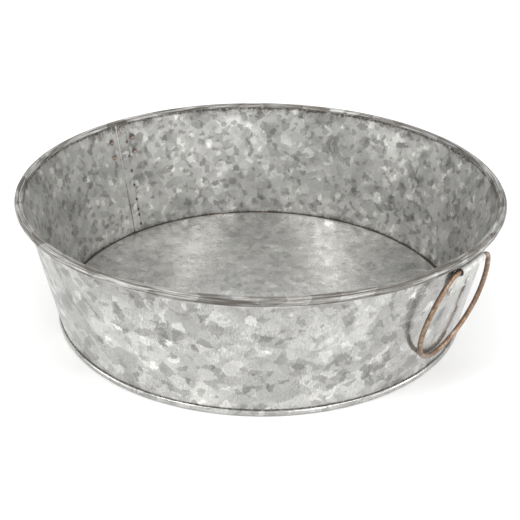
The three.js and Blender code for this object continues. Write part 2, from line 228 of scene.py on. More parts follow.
# ---- Materials --------------------------------------------------------------------------------
class Nodes:
    """Small helper that builds a shader node tree."""

    def __init__(self, name):
        self.material = bpy.data.materials.new(name)
        self.material.use_nodes = True
        self.tree = self.material.node_tree
        self.shader = self.tree.nodes["Principled BSDF"]
        self.place = self.tree.nodes.new("ShaderNodeTexCoord").outputs["Object"]

    def node(self, kind, **values):
        node = self.tree.nodes.new(kind)
        for key, value in values.items():
            setattr(node, key, value)
        return node

    def link(self, source, target):
        if isinstance(source, (int, float, tuple, list)):
            target.default_value = source
        else:
            self.tree.links.new(source, target)

    def math(self, operation, a, b, clamp=False):
        node = self.node("ShaderNodeMath", operation=operation, use_clamp=clamp)
        for socket, value in zip(node.inputs, (a, b)):
            self.link(value, socket)
        return node.outputs[0]

    def vector(self, operation, a, b=(0, 0, 0), scale=None):
        node = self.node("ShaderNodeVectorMath", operation=operation)
        self.link(a, node.inputs[0])
        if operation != "NORMALIZE" and scale is None:
            self.link(b, node.inputs[1])
        if scale is not None:
            self.link(scale, node.inputs["Scale"])
        return node.outputs[0]

    def noise(self, scale, detail=3.0, roughness=0.5, place=None, distortion=0.0):
        node = self.node("ShaderNodeTexNoise")
        self.link(place or self.place, node.inputs["Vector"])
        node.inputs["Scale"].default_value = scale
        node.inputs["Detail"].default_value = detail
        node.inputs["Roughness"].default_value = roughness
        node.inputs["Distortion"].default_value = distortion
        return node

    def cells(self, scale, place):
        node = self.node("ShaderNodeTexVoronoi")
        self.link(place, node.inputs["Vector"])
        node.inputs["Scale"].default_value = scale
        return node

    def ramp(self, factor, stops):
        node = self.node("ShaderNodeValToRGB")
        elements = node.color_ramp.elements
        while len(elements) < len(stops):
            elements.new(0.5)
        for element, (position, colour) in zip(elements, stops):
            element.position = position
            element.color = (*colour, 1) if isinstance(colour, (tuple, list)) else (colour,) * 3 + (1,)
        self.link(factor, node.inputs[0])
        return node.outputs["Color"]

    def mix(self, factor, a, b, blend="MIX"):
        node = self.node("ShaderNodeMix", data_type="RGBA", blend_type=blend)
        self.link(factor, node.inputs[0])
        self.link(a, node.inputs[6])
        self.link(b, node.inputs[7])
        return node.outputs[2]

    def blend(self, factor, a, b):
        node = self.node("ShaderNodeMix", data_type="FLOAT")
        self.link(factor, node.inputs[0])
        self.link(a, node.inputs[2])
        self.link(b, node.inputs[3])
        return node.outputs[0]

    def split(self, colour):
        return self.node_outputs("ShaderNodeSeparateColor", colour)

    def node_outputs(self, kind, source):
        node = self.node(kind)
        self.link(source, node.inputs[0])
        return node.outputs

    def attribute(self, name):
        return self.node("ShaderNodeAttribute", attribute_name=name).outputs["Fac"]

    def bump(self, height, distance, strength=1.0, normal=None):
        node = self.node("ShaderNodeBump")
        node.inputs["Distance"].default_value = distance
        node.inputs["Strength"].default_value = strength
        self.link(height, node.inputs["Height"])
        if normal:
            self.link(normal, node.inputs["Normal"])
        return node.outputs[0]

    def normal(self):
        return self.node("ShaderNodeNewGeometry").outputs["Normal"]

    def set(self, **sockets):
        for name, value in sockets.items():
            self.link(value, self.shader.inputs[name.replace("_", " ")])


def crystals(n, size, warp=0.4):
    """Three sizes of zinc crystal: colour outputs that are constant in each one, and the warped place."""
    scale = 1 / size
    wobble = n.noise(scale * 0.9, 3, 0.55).outputs["Color"]
    fine = n.noise(scale * 4.2, 2, 0.6).outputs["Color"]
    shifted = n.vector("ADD", n.place, n.vector("SCALE", n.vector("SUBTRACT", wobble, (0.5,) * 3),
                                              scale=2.4 * warp * size))
    shifted = n.vector("ADD", shifted, n.vector("SCALE", n.vector("SUBTRACT", fine, (0.5,) * 3),
                                                scale=0.8 * warp * size))
    large = n.cells(scale * 0.55, shifted).outputs["Color"]
    medium = n.cells(scale, shifted).outputs["Color"]
    small = n.cells(scale * 1.75, shifted).outputs["Color"]
    return large, medium, small, shifted


def tones(n, colour, stops):
    """A multiplier for the zinc's grey, picked by each crystal's own random number."""
    return n.ramp(n.split(colour)[0], stops)


LARGE_TONES = [(0.0, 0.88), (0.3, 0.95), (0.7, 1.03), (1.0, 1.10)]
MEDIUM_TONES = [(0.0, 0.74), (0.1, 0.84), (0.25, 0.93), (0.6, 1.02), (0.88, 1.1), (1.0, 1.22)]
SMALL_TONES = [(0.0, 0.66), (0.13, 0.74), (0.17, 0.97), (0.85, 1.03), (0.93, 1.05), (0.96, 1.3), (1.0, 1.4)]


def soften(stops, share):
    return [(place, 1 + (tone - 1) * share) for place, tone in stops]


def add_marks(n, grey, dirt_and_shade_colour=(0.045, 0.038, 0.03, 1)):
    """Dirt mixed with painted shade, painted highlight lines and rust, from the mesh's own marks. Returns the
    colour and the mask of shade, dirt and rust.
    """
    blotch = n.ramp(n.noise(420, 4, 0.65).outputs["Fac"], [(0.35, 0.45), (0.62, 1.25)])
    # The grime mark is partly dirt and partly painted shade, in creases, under the roll and round the
    # fittings; it darkens the colour towards near-black.
    dirt_and_shade = n.math("MULTIPLY", n.attribute("dirt_and_shade"), blotch, clamp=True)
    grey = n.mix(dirt_and_shade, grey, dirt_and_shade_colour)
    # The rubbed mark is a painted highlight: it lightens the colour towards near-white.
    grey = n.mix(n.attribute("painted_highlight"), grey, (0.86, 0.86, 0.84, 1))
    specks = n.ramp(n.noise(750, 3, 0.6).outputs["Fac"], [(0.47, 0.0), (0.58, 1.0)])
    rust = n.math("MULTIPLY", n.attribute("rust"), specks, clamp=True)
    grey = n.mix(rust, grey, (0.36, 0.155, 0.06, 1))
    return grey, n.math("MAXIMUM", dirt_and_shade, rust)


def galvanised(name, size=8 * MM, grey=0.46, contrast=(1, 1, 1), rough=(0.36, 0.48), tilt=0.07, metallic=0.8,
               scratch=0.0, step=0.02 * MM, cloud=0.3):
    n = Nodes(name)
    large, medium, small, shifted = crystals(n, size)
    tone = tones(n, large, soften(LARGE_TONES, contrast[0]))
    tone = n.math("MULTIPLY", tone, tones(n, medium, soften(MEDIUM_TONES, contrast[1])))
    tone = n.math("MULTIPLY", tone, tones(n, small, soften(SMALL_TONES, contrast[2])))
    # Feathered growth inside each crystal, and slow clouding of the whole sheet.
    feather = n.noise(5.5 / size, 4, 0.7, n.vector("ADD", shifted, n.vector("SCALE", medium, scale=3.0)))
    tone = n.math("MULTIPLY", tone, n.ramp(feather.outputs["Fac"], [(0.25, 0.87), (0.75, 1.13)]))
    clouds = n.ramp(n.noise(16, 4, 0.6).outputs["Fac"], [(0.3, 1 - cloud * 0.6), (0.7, 1 + cloud * 0.5)])
    tone = n.math("MULTIPLY", tone, clouds)
    if scratch:
        lean = n.node("ShaderNodeMapping")
        n.link(n.place, lean.inputs["Vector"])
        lean.inputs["Rotation"].default_value = (0.5, 0.6, 0.3)
        lean.inputs["Scale"].default_value = (1, 1, 0.22)
        strokes = n.noise(1100, 3, 0.7, lean.outputs[0], 0.4).outputs["Fac"]
        where = n.ramp(n.noise(28, 2, 0.5).outputs["Fac"], [(0.35, 0.25), (0.6, 1.0)])
        stroke_tone = n.ramp(strokes, [(0.35, 1 - scratch), (0.65, 1 + scratch)])
        tone = n.math("MULTIPLY", tone, n.blend(where, 1.0, stroke_tone))
    colour = n.vector("SCALE", (grey * 1.005, grey, grey * 0.965), scale=tone)
    colour, shade_dirt_and_rust = add_marks(n, colour)
    n.set(Base_Color=colour)
    grain = n.noise(240, 4, 0.7).outputs["Fac"]
    roughness = n.blend(n.split(medium)[1], rough[0], rough[1])
    roughness = n.math("ADD", roughness, n.math("MULTIPLY", n.math("SUBTRACT", grain, 0.5), 0.2))
    roughness = n.math("SUBTRACT", roughness, n.math("MULTIPLY", n.attribute("smooth"), 0.15))
    n.set(Roughness=n.math("ADD", roughness, n.math("MULTIPLY", shade_dirt_and_rust, 0.3), clamp=True))
    n.set(Metallic=n.math("MULTIPLY", n.math("SUBTRACT", 1.0, shade_dirt_and_rust), metallic))
    # Every crystal reflects in a slightly different direction, with a faint step at its edge.
    lean = n.vector("SCALE", n.vector("SUBTRACT", medium, (0.5,) * 3), scale=tilt)
    leaned = n.vector("NORMALIZE", n.vector("ADD", n.normal(), lean))
    relief = n.math("ADD", n.split(small)[2], n.math("MULTIPLY", n.noise(700, 3, 0.6).outputs["Fac"], 1.2))
    n.set(Normal=n.bump(relief, step, 0.8, leaned))
    return n.material


def rolled_rim(name):
    """The rolled edge: the zinc is drawn out into streaks that run round the rim, dull and a little brown."""
    n = Nodes(name)
    parts = n.node_outputs("ShaderNodeSeparateXYZ", n.place)
    across = n.attribute("across")

    def streaks(along, over, detail, roughness):
        place = n.node("ShaderNodeCombineXYZ")
        n.link(n.math("MULTIPLY", parts[0], along), place.inputs[0])
        n.link(n.math("MULTIPLY", parts[1], along), place.inputs[1])
        n.link(n.math("MULTIPLY", across, over), place.inputs[2])
        return n.noise(1.0, detail, roughness, place.outputs[0]).outputs["Fac"]

    tone = n.ramp(streaks(22, 11, 3, 0.6), [(0.36, 0.58), (0.5, 0.94), (0.64, 1.3)])
    tone = n.math("MULTIPLY", tone, n.ramp(streaks(55, 46, 3, 0.6), [(0.36, 0.55), (0.64, 1.3)]))
    patches = n.split(n.cells(42, n.vector("ADD", n.place, n.vector(
        "SCALE", n.noise(60, 2, 0.5).outputs["Color"], scale=0.012))).outputs["Color"])[0]
    tone = n.math("MULTIPLY", tone, n.ramp(patches, [(0.0, 0.7), (0.3, 0.78), (0.45, 0.98), (1.0, 1.1)]))
    brown = n.ramp(tone, [(0.4, (0.20, 0.178, 0.155)), (0.75, (0.275, 0.267, 0.25)),
                          (1.0, (0.35, 0.348, 0.335))])
    colour = n.vector("SCALE", brown, scale=tone)
    flecks = n.ramp(n.noise(620, 2, 0.5).outputs["Fac"], [(0.67, 0.0), (0.72, 0.8)])
    where = n.ramp(n.noise(22, 2, 0.5).outputs["Fac"], [(0.5, 0.0), (0.62, 1.0)])
    colour = n.mix(n.math("MULTIPLY", flecks, where), colour, (0.42, 0.19, 0.075, 1))
    colour, shade_dirt_and_rust = add_marks(n, colour)
    n.set(Base_Color=colour)
    n.set(Roughness=n.blend(n.math("MULTIPLY", tone, 0.7, clamp=True), 0.62, 0.42))
    n.set(Metallic=n.math("MULTIPLY", n.math("SUBTRACT", 1.0, shade_dirt_and_rust), 0.7))
    n.set(Normal=n.bump(streaks(50, 30, 3, 0.6), 0.12 * MM, 0.9))
    return n.material


def bronze_wire(name):
    """Dull brown bronze colour, worn paler in places."""
    n = Nodes(name)
    patina = n.noise(170, 4, 0.65).outputs["Fac"]
    fine = n.noise(1700, 3, 0.7).outputs["Fac"]
    colour = n.ramp(patina, [(0.28, (0.13, 0.08, 0.052)), (0.5, (0.255, 0.17, 0.115)),
                             (0.72, (0.36, 0.255, 0.185))])
    colour = n.mix(0.6, colour, n.ramp(fine, [(0.35, 0.5), (0.7, 1.5)]), "MULTIPLY")
    worn = n.ramp(n.noise(95, 4, 0.75).outputs["Fac"], [(0.52, 0.0), (0.62, 1.0)])
    colour = n.mix(n.math("MULTIPLY", worn, 0.42), colour, (0.50, 0.46, 0.42, 1))
    n.set(Base_Color=colour, Metallic=0.85)
    n.set(Roughness=n.blend(patina, 0.45, 0.32))
    n.set(Normal=n.bump(fine, 0.1 * MM, 0.9))
    return n.material


def crease_sealant(name):
    n = Nodes(name)
    patch = n.noise(60, 4, 0.65).outputs["Fac"]
    colour = n.ramp(patch, [(0.3, (0.012, 0.009, 0.007)), (0.58, (0.03, 0.02, 0.014)),
                            (0.7, (0.14, 0.06, 0.025))])
    n.set(Base_Color=colour, Roughness=0.75)
    n.set(Normal=n.bump(n.noise(1500, 3, 0.6).outputs["Fac"], 0.0001, 0.8))
    return n.material


def weld_scorch(name):
    n = Nodes(name)
    patch = n.noise(1100, 3, 0.6).outputs["Fac"]
    colour = n.ramp(patch, [(0.35, (0.02, 0.016, 0.013)), (0.55, (0.05, 0.035, 0.025)),
                            (0.68, (0.23, 0.10, 0.045))])
    n.set(Base_Color=colour, Roughness=0.6, Metallic=0.3)
    n.set(Normal=n.bump(patch, 0.0002, 0.8))
    return n.material


def pale_floor(name):
    n = Nodes(name)
    shade = n.ramp(n.noise(3, 2, 0.5).outputs["Fac"], [(0.3, 0.83), (0.7, 0.85)])
    n.set(Base_Color=shade, Roughness=0.8)
    return n.material


ZINC_INSIDE = galvanised("galvanised_inside", contrast=(1.1, 1.2, 1.1))
ZINC_OUTSIDE = galvanised("galvanised_outside", size=11 * MM, grey=0.43, contrast=(1.6, 1.2, 1.0),
                          rough=(0.27, 0.38), scratch=0.24)
ZINC_FLOOR = galvanised("galvanised_floor", grey=0.42, contrast=(0.6, 0.7, 0.6), rough=(0.22, 0.3),
                        tilt=0.03)
ZINC_RIM = rolled_rim("galvanised_rim")
ZINC_SMALL = galvanised("galvanised_fittings", size=6 * MM, grey=0.49, contrast=(0.6, 0.5, 0.4), scratch=0.1)
BRONZE = bronze_wire("bronze_wire")
SEALANT = crease_sealant("crease_sealant")
SCORCH = weld_scorch("weld_scorch")


# ---- Marks: dirt, rust, painted shade and painted highlights, painted by place ------------------
def paint(piece, name, rule):
    paint_values(piece, name, [rule(vertex.co) for vertex in piece.data.vertices])


def paint_values(piece, name, values):
    layer = piece.data.attributes.new(name, "FLOAT", "POINT")
    layer.data.foreach_set("value", [max(0.0, min(1.0, value)) for value in values])


def fade(distance, reach):
    return max(0.0, 1.0 - abs(distance) / reach)


def blotch(azimuth, height, scale, seed):
    """Uneven 0 to 1 patches over the wall."""
    return max(0.0, min(1.0, 0.5 + 1.3 * soft_noise(azimuth, height, scale, seed)))


# ---- Handle frames ------------------------------------------------------------------------------
AXIS_OFFSET = 5.4 * MM


def handle_azimuth(side):
    place = JOINTS[SIDES[side]]["pos_m"]
    return math.atan2(place[1], place[0])


def handle_matrix(side):
    """X square off the wall, Y round the pan, Z up the slope."""
    turn = Matrix.Rotation(handle_azimuth(side), 4, "Z")
    return turn @ Matrix.Translation((WALL_BASE_RADIUS, 0, 0)) @ Matrix.Rotation(SLOPE, 4, "Y")


AXIS_UP = up_slope(JOINTS["right_ring"]["pos_m"][2], AXIS_OFFSET)


def placed(points, matrix):
    return [tuple(matrix @ Vector(p)) for p in points]


# ---- Wall ---------------------------------------------------------------------------------------
SEAM_MIDDLE = math.radians(SEAM_AZIMUTH)
SEAM_HALF = SEAM_WIDTH / 2 / SEAM_RADIUS
SEAM_STEP = 0.25 * MM / SEAM_RADIUS  # half the width of the step at each edge of the lap, in radians
HANDLE_REACH = math.radians(6.5)
SMOOTH_REACH = 72 * MM               # how far the smoother zinc spreads to each side of a handle


def turned_by(a, b):
    """The signed angle from b to a, from -180 to 180 degrees."""
    return (a - b + math.pi) % (2 * math.pi) - math.pi


def wall_azimuths():
    """Every azimuth that the wall is sampled at: closer at the handles, closest at the seam's two edges."""
    edges = [SEAM_MIDDLE + side * SEAM_HALF + part * SEAM_STEP / 2
             for side in (-1, 1) for part in range(-8, 9)]
    handles = []
    for side in SIDES:
        middle = handle_azimuth(side)
        handles += [(middle + HANDLE_REACH * part / 32) % (2 * math.pi) for part in range(-32, 33)]
    handles = [a for a in handles if all(abs(turned_by(a, b)) > 0.0012 for b in edges)]
    even = [2 * math.pi * i / 480 for i in range(480)]
    even = [a for a in even if all(abs(turned_by(a, b)) > 0.004 for b in edges + handles)]
    return sorted(even + handles + edges)


def inner_rivet_ends():
    """Where the rivets come through: (azimuth, height) of each one's end inside the pan."""
    return [(handle_azimuth(side) + y / wall_radius(row), row) for side in SIDES for row in RIVET_ROWS
            for y in (-RIVET_SPACING / 2, RIVET_SPACING / 2)]


def wall_marks(zone, azimuth, radius, height, ends):
    """(dirt and painted shade, painted highlight, rust) at one point of the wall."""
    dirt_and_shade = painted_highlight = rust = 0.0
    if zone == "inside":
        patch = blotch(azimuth, height, 75, 21)
        # Blotchy and darker over the lowest 6 mm inside, with a thin dark line of painted shade in the crease
        # with the floor.
        dirt_and_shade += 0.5 * fade(height - FLOOR_HEIGHT, 6 * MM) ** 1.6 * (0.4 + patch)
        dirt_and_shade += 0.9 * fade(height - FLOOR_HEIGHT + 0.4 * MM, 1.5 * MM) * (0.7 + 0.5 * patch)
        # A blotchy dark band where the inside curves over into the roll, and a darker line where the curve
        # starts: painted shade and dark reflection.
        dirt_and_shade += 0.62 * fade(height - WALL_TOP, 10 * MM) ** 0.8 * blotch(azimuth, height, 70, 22)
        dirt_and_shade += 0.35 * fade(height - WALL_TOP, 7 * MM) * blotch(azimuth, height, 230, 28)
        dirt_and_shade += 0.75 * fade(height - 112.0 * MM, 1.6 * MM)
        across = turned_by(azimuth, SEAM_MIDDLE) * SEAM_RADIUS
        half = SEAM_WIDTH / 2
        left, right = across - half, across + half
        upper = min(1.0, max(0.0, (height - 62 * MM) / (12 * MM)))
        uneven = 0.55 + 0.45 * blotch(azimuth, height, 160, 23)
        # Seam: the right edge of the lap is a dark joint line. Along the left edge a near-white painted
        # highlight runs down the upper part between two dark joint lines; lower down that edge is painted
        # dark, as shade of the step.
        dirt_and_shade += uneven * 0.85 * fade(right, 0.8 * MM)
        two_lines = 0.75 * fade(left + 0.75 * MM, 0.6 * MM) + 0.6 * fade(left - 0.75 * MM, 0.6 * MM)
        dirt_and_shade += uneven * two_lines * upper
        dirt_and_shade += uneven * 0.8 * fade(left, 0.7 * MM) * (1 - upper)
        painted_highlight += 0.75 * fade(left, 0.45 * MM) * upper
        top = fade(height - ROLL_FOOT, 9 * MM) * fade(across, half * 1.25) ** 0.3
        dirt_and_shade += 0.8 * top * max(0.0, blotch(azimuth, height, 420, 24) - 0.45) * 2
        rust += 0.9 * top * max(0.0, blotch(azimuth, height, 500, 25) - 0.55) * 2
        for weld_height in WELD_HEIGHTS:
            away = turned_by(azimuth, WELD_PLACE) * WELD_RADIUS
            reach = math.hypot(away, (height - weld_height * MM) * 0.85)
            dirt_and_shade += 0.95 * max(0.0, min(1.0, 1.9 - reach / MM))
        # Round each rivet end a blotchy dark patch, partly dirt and partly painted shade of the end's dent,
        # with rust below it.
        for end_azimuth, end_height in ends:
            away = turned_by(azimuth, end_azimuth) * RIVET_RADIUS
            rise = (height - end_height) / SLOPE_COS
            if abs(away) < 7 * MM and abs(rise) < 9 * MM:
                reach = math.hypot(away / 3.6, (rise - 0.4 * MM) / 5.2)
                dirt_and_shade += 0.75 * max(0.0, 1.15 - reach / MM) * (0.5 + 0.7 * blotch(azimuth, height, 400, 26))
                rust += 0.7 * max(0.0, 1.1 - math.hypot(away / 3.0, (rise + 2.2 * MM) / 2.6) / MM)
    elif zone == "outside":
        # Painted shade in the crease under the roll.
        dirt_and_shade += 0.9 * fade(height - ROLL_FOOT, 2.2 * MM) * (0.6 + 0.5 * blotch(azimuth, height, 60, 29))
        # Painted shade on the wall down in the gap behind the joint's lip.
        dirt_and_shade += 1.0 * min(1.0, max(0.0, (CHIME_HEIGHT + 1.1 * MM - height) / (0.7 * MM)))
        # A painted highlight: a pale band just under the roll.
        painted_highlight += 0.35 * fade(height - 106 * MM, 1.6 * MM) * blotch(azimuth, height, 120, 27)
        # Blotchy and a little darker over the 30 mm under the roll.
        dirt_and_shade += 0.2 * fade(height - ROLL_FOOT, 30 * MM) * (0.4 + 0.7 * blotch(azimuth, height, 45, 31))
    elif zone == "roll" and radius > BEAD_CENTRE[0]:
        # On the roll's outer half, painted shade: darker towards its underside.
        under = max(0.0, (BEAD_CENTRE[1] - height) / BEAD_RADIUS)
        dirt_and_shade += (0.2 + 0.5 * under * under) * (0.6 + 0.6 * blotch(azimuth, height, 50, 32))
    return dirt_and_shade, painted_highlight, rust


def make_wall():
    azimuths = wall_azimuths()
    slope_degrees = math.degrees(SLOPE)
    inner = BEAD_RADIUS - SHEET
    turn = math.degrees(math.acos((inner - ROLL_END_GAP) / BEAD_RADIUS))
    start = 180 - slope_degrees
    end = start + turn - 360
    hook_out = CHIME_RADIUS - SHEET - JOINT_GAP
    low = SHEET + JOINT_GAP
    outline = [(wall_radius(low, SHEET), low), (hook_out, low), (hook_out, HOOK_TOP),
               (hook_out - SHEET, HOOK_TOP), (hook_out - SHEET, low + SHEET),
               (wall_radius(low + SHEET), low + SHEET)]
    roll_inside = arc(*BEAD_CENTRE, inner, start, end, 30)
    roll_outside = arc(*BEAD_CENTRE, BEAD_RADIUS, end, start, 56)
    outside = eased_line(outline[-1], roll_inside[0], 110)
    inside = eased_line(roll_outside[-1], outline[0], 140)
    zones = (["hook"] * len(outline) + ["outside"] * len(outside) + ["hidden"] * len(roll_inside)
             + ["roll"] * len(roll_outside) + ["inside"] * len(inside))
    outline += outside + roll_inside + roll_outside + inside
    first_roll = zones.index("roll")

    def shape(radius, height, azimuth, index):
        zone = zones[index]
        if zone == "hook" or height < 5.5 * MM:
            return radius, height
        ease = min(1.0, (height - 5.5 * MM) / (25 * MM))
        wave = 0.35 * MM * soft_noise(azimuth, 0, 9, 3) + 0.14 * MM * soft_noise(azimuth, height, 34, 8)
        radius += ease * wave
        out = Vector((radius - BEAD_CENTRE[0], height - BEAD_CENTRE[1]))
        out.normalize()
        if zone == "roll":
            push = 0.1 * MM * (soft_noise(azimuth, index * 0.02, 40, 5)
                               + 0.7 * soft_noise(azimuth, index * 0.05, 90, 6))
            radius += push * out.x
            height += push * out.y
        past = abs(turned_by(azimuth, SEAM_MIDDLE))
        if past < SEAM_HALF + SEAM_STEP:
            side = min(1.0, (SEAM_HALF + SEAM_STEP - past) / (2 * SEAM_STEP))
            lift = side * side * (3 - 2 * side)
            if zone == "inside":
                radius -= SHEET * lift
            elif zone == "roll" and out.x < 0.2:
                radius += 0.32 * MM * lift * out.x
        return radius, height

    vertices, faces = turned_grid(outline, azimuths, shape)
    wall = finish_mesh("wall_sheet", vertices, faces, ZINC_INSIDE, "pan", ["side_wall"],
                       50)
    wall.data.materials.append(ZINC_OUTSIDE)
    wall.data.materials.append(ZINC_RIM)
    rows = len(outline)
    looks = {"inside": 0, "hook": 1, "outside": 1, "hidden": 1, "roll": 2}
    wall.data.polygons.foreach_set("material_index", [looks[zones[i % rows]] for i in range(len(faces))])
    ends = inner_rivet_ends()
    marks = [wall_marks(zone, azimuth, radius, height, ends) for azimuth in azimuths
             for zone, (radius, height) in zip(zones, outline)]
    for name, values in zip(("dirt_and_shade", "painted_highlight", "rust"), zip(*marks)):
        paint_values(wall, name, values)
    handles = [handle_azimuth(side) for side in SIDES]
    beside = [max(fade(turned_by(azimuth, handle) * RIVET_RADIUS, SMOOTH_REACH) for handle in handles)
              for azimuth in azimuths]
    smooth = [min(1.0, 2 * near) * (zone == "outside") for near in beside for zone in zones]
    paint_values(wall, "smooth", smooth)
    last = len(roll_outside) - 1
    along = [max(0.0, min(1.0, (i - first_roll) / last)) for i in range(rows)]
    paint_values(wall, "across", along * len(azimuths))


# ---- Floor disc ---------------------------------------------------------------------------------
def make_floor():
    skirt = SHEET + JOINT_GAP
    bend_y = FLOOR_HEIGHT - FLOOR_BEND
    bend_x = wall_radius(bend_y, skirt) - FLOOR_BEND
    skirt_in = wall_radius(0, skirt + SHEET)
    corner = CHIME_RADIUS - CHIME_CORNER
    lip = wall_radius(CHIME_HEIGHT) + CHIME_LIP_GAP
    centre = 0.2 * MM
    outline = line((centre, FLOOR_HEIGHT - SHEET), (bend_x, FLOOR_HEIGHT - SHEET), 30, ends=False)
    outline.insert(0, (centre, FLOOR_HEIGHT - SHEET))
    outline += arc(bend_x, bend_y, FLOOR_BEND - SHEET, 90, 0, 6)
    outline += [(skirt_in + SHEET, 0.0), ((skirt_in + SHEET + corner) / 2, 0.0)]
    outline += arc(corner, CHIME_CORNER, CHIME_CORNER, -90, 0, 8)
    outline += arc(corner, CHIME_HEIGHT - CHIME_CORNER, CHIME_CORNER, 0, 90, 8)
    outline += [(lip, CHIME_HEIGHT), (lip, CHIME_HEIGHT - SHEET),
                (CHIME_RADIUS - SHEET, CHIME_HEIGHT - SHEET), (CHIME_RADIUS - SHEET, SHEET),
                (wall_radius(SHEET, skirt), SHEET)]
    outline += arc(bend_x, bend_y, FLOOR_BEND, 0, 90, 10)
    outline += line((bend_x, FLOOR_HEIGHT), (centre, FLOOR_HEIGHT), 60, ends=False)
    outline.append((centre, FLOOR_HEIGHT))
    azimuths = [2 * math.pi * i / 360 for i in range(360)]

    def shape(radius, height, azimuth, index):
        if height > 3.5 * MM and radius < bend_x:
            place = Vector((radius * math.cos(azimuth), radius * math.sin(azimuth), 0))
            flat = min(1.0, (bend_x - radius) / (12 * MM))
            height += flat * MM * (0.22 * noise.noise(place * 14) + 0.08 * noise.noise(place * 45) - 0.15)
        elif radius > CHIME_RADIUS - 0.5 * MM and 0.4 * MM < height < 5 * MM:
            radius += 0.12 * MM * min(0.0, soft_noise(azimuth, height, 55, 4) - 0.1)
        return radius, height

    vertices, faces = turned_grid(outline, azimuths, shape)
    disc = finish_mesh("floor_sheet", vertices, faces, ZINC_FLOOR, "pan", ["bottom_disc"],
                       50)

    def dirt_and_shade(place):
        radius = math.hypot(place.x, place.y)
        # Painted shade on the floor towards its crease with the wall.
        if place.z > 3 * MM and radius < bend_x + FLOOR_BEND:
            return 0.9 * fade(radius - (bend_x + FLOOR_BEND), 3.0 * MM)
        # Painted shade at the foot of the joint on the ground and on its lip, in the gap beside the wall.
        foot = 0.45 * fade(place.z, 1.6 * MM) * (radius > lip)
        return foot + 0.9 * fade(place.z - CHIME_HEIGHT, 1.1 * MM) * (radius < lip + 0.5 * MM)

    def rust(place):
        radius = math.hypot(place.x, place.y)
        edge = fade(radius - (bend_x + 1 * MM), 2.5 * MM)
        return edge * max(0.0, noise.noise(Vector(place) * 30 + Vector((3, 1, 7))) * 2.2)

    paint(disc, "dirt_and_shade", dirt_and_shade)
    paint(disc, "rust", rust)


def make_sealant():
    bend_y = FLOOR_HEIGHT - FLOOR_BEND
    bend_x = wall_radius(bend_y, SHEET + JOINT_GAP) - FLOOR_BEND
    low = FLOOR_HEIGHT - SEALANT_DEPTH
    radius = FLOOR_BEND + SEALANT_GAP
    low_angle = math.degrees(math.asin((low - bend_y) / radius))
    outline = arc(bend_x, bend_y, radius, 80, low_angle, 6)
    outline += [(wall_radius(low, SHEET + SEALANT_GAP), low)]
    top = bend_y + radius * math.sin(math.radians(80))
    outline += line((wall_radius(top, SHEET + SEALANT_GAP), top), outline[0], 4, ends=False)
    azimuths = [2 * math.pi * i / 480 for i in range(480)]

    def shape(radius, height, azimuth, index):
        if height > top - 0.3 * MM:
            height += 0.14 * MM * soft_noise(azimuth, 0, 90, 12) - 0.1 * MM
        return radius, height

    vertices, faces = turned_grid(outline, azimuths, shape)
    finish_mesh("crease_sealant", vertices, faces, SEALANT, "pan", ["seam_sealant"], 60)


# ---- Rings --------------------------------------------------------------------------------------
def turn_points(cx, cy, radius, start, end, gap=1.0 * MM):
    steps = max(2, int(abs(end - start) * radius / gap))
    return [(cx + radius * math.cos(start + (end - start) * i / steps),
             cy + radius * math.sin(start + (end - start) * i / steps)) for i in range(steps + 1)]


def ring_centreline():
    half, flat = RING_WIDTH / 2, RING_FLAT / 2
    round_y = -(RING_DROP - half)
    reach, fall = half - flat, -round_y
    side = (reach ** 2 + (fall - RING_CORNER) ** 2 - RING_CORNER ** 2) / (2 * (reach - RING_CORNER))
    side_x = half - side
    turn = math.atan2(-RING_CORNER - round_y, flat - side_x)
    right = line((RING_END_GAP / 2, 0), (flat, 0), 12)
    right += turn_points(flat, -RING_CORNER, RING_CORNER, math.pi / 2, turn)[1:]
    right += turn_points(side_x, round_y, side, turn, 0)[1:]
    right += turn_points(0, round_y, half, 0, -math.pi / 2)[1:]
    left = [(-x, y) for x, y in reversed(right[:-1])]
    return right + left


def sweep(points, radius, sides, wobble):
    """A round wire along points in the YZ plane, closed with a flat cut at each end."""
    vertices, faces = [], []
    count = len(points)
    for i, (y, z) in enumerate(points):
        before, after = points[max(i - 1, 0)], points[min(i + 1, count - 1)]
        along = Vector((after[0] - before[0], after[1] - before[1])).normalized()
        across = Vector((-along.y, along.x))
        thick = radius * (1 + wobble * noise.noise(Vector((y, z, 0)) * 300))
        for k in range(sides):
            angle = 2 * math.pi * k / sides
            out = thick * math.cos(angle)
            vertices.append((thick * math.sin(angle), y + out * across.x, z + out * across.y))
    for i in range(count - 1):
        for k in range(sides):
            m = (k + 1) % sides
            faces.append((i * sides + k, i * sides + m, (i + 1) * sides + m, (i + 1) * sides + k))
    faces.append(tuple(reversed(range(sides))))
    faces.append(tuple((count - 1) * sides + k for k in range(sides)))
    return vertices, faces


def make_ring(side):
    lean = math.asin((AXIS_OFFSET - RING_WIRE / 2 - RING_REST_GAP) / RING_DROP)
    matrix = (handle_matrix(side) @ Matrix.Translation((AXIS_OFFSET, 0, AXIS_UP))
              @ Matrix.Rotation(lean, 4, "Y"))
    vertices, faces = sweep(ring_centreline(), RING_WIRE / 2, 20, 0.02)
    finish_mesh(f"wire_ring_{side}", placed(vertices, matrix), faces, BRONZE, SIDES[side],
                [f"ring_{side}"], 50)


# ---- Brackets -----------------------------------------------------------------------------------
SLEEVE_MIDDLE = RING_WIRE / 2 + SLEEVE_CLEARANCE + BRACKET_SHEET / 2
INNER_LAYER = BRACKET_GAP + BRACKET_SHEET / 2
OUTER_LAYER = INNER_LAYER + BRACKET_GAP + BRACKET_SHEET
BRACKET_FACE = OUTER_LAYER + BRACKET_SHEET / 2


